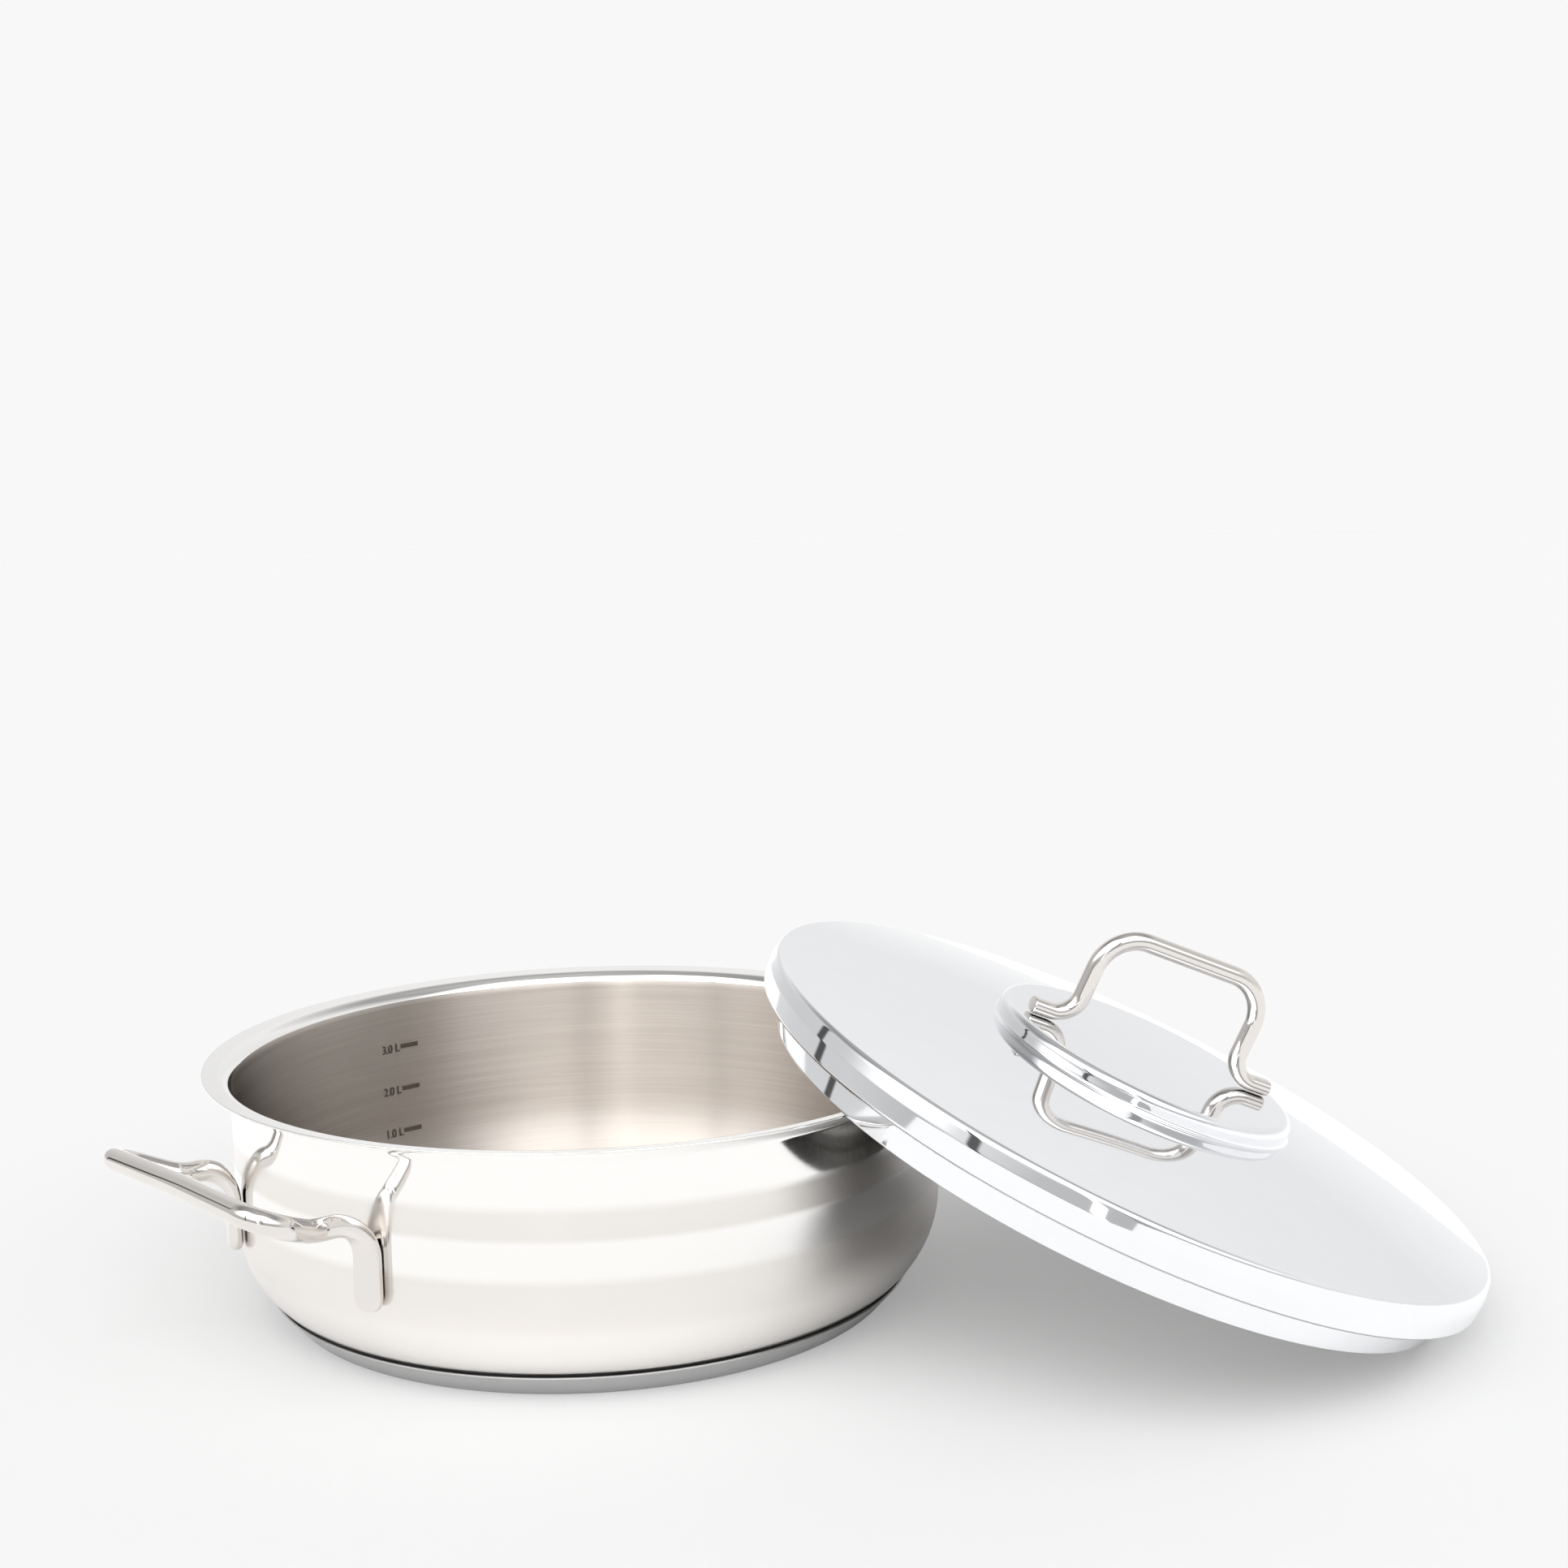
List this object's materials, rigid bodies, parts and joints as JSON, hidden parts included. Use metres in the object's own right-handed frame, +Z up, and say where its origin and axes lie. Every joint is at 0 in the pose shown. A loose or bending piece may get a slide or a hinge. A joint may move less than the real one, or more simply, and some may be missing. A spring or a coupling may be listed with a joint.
{
  "type": "casserole pot with lid",
  "caption": "Low round stainless steel casserole with a flared pouring rim, bent rod side handles and a domed lid with a rod grip, lid leaning on the rim.",
  "frame": {"origin": "centre of the base's underside, on the table", "axes": "+Z up the pot's axis, +X towards the right side handle, the litre marks on the +Y wall"},
  "size_m": [0.4303, 0.4289, 0.1363],
  "materials": {
    "pot_steel": "polished outside in satin and mirror bands, brushed round inside",
    "core_aluminium": "as rolled",
    "base_steel": "satin",
    "handle_steel": "polished",
    "lid_steel": "mirror polished"
  },
  "bodies": {
    "pot": {"pot_body": "pot_steel", "base_core": "core_aluminium", "base_cap": "base_steel", "side_handle_right": "handle_steel", "side_handle_left": "handle_steel"},
    "lid": {"lid_shell": "lid_steel", "lid_handle": "handle_steel"}
  },
  "joints": [
    {"name": "lid_lift", "type": "slide", "parent": "pot", "child": "lid", "axis": [0, 0, 1], "range_m": [0, 0.15]}
  ]
}
